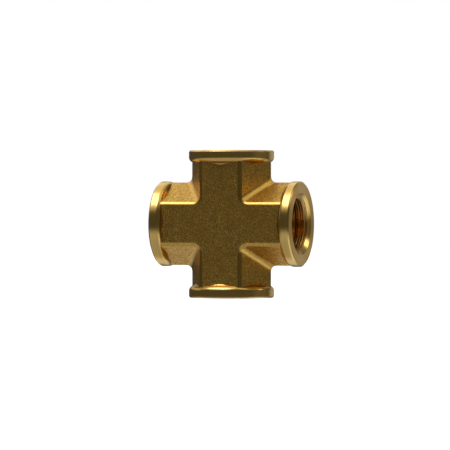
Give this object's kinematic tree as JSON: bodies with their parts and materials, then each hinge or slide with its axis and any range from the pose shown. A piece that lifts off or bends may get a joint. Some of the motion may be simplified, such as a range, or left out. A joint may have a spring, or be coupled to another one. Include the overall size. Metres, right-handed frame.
{
  "type": "cross fitting",
  "caption": "Forged brass equal cross fitting with hexagonal arms, round collars and female G 1/2 ports, for joining pipes at right angles.",
  "frame": {"origin": "the point where the axes of the four ports meet, which is the centre of the bounding box", "axes": "+Z along the top port, +X along the right port, and Y through the thickness, with the front flat at -Y and the forging's parting plane at Y = 0"},
  "size_m": [0.0546, 0.0316, 0.0546],
  "materials": {
    "brass": "blasted forging skin, with bright turned collars, end faces and threads"
  },
  "bodies": {
    "root": {"cross_body": "brass"}
  },
  "joints": []
}
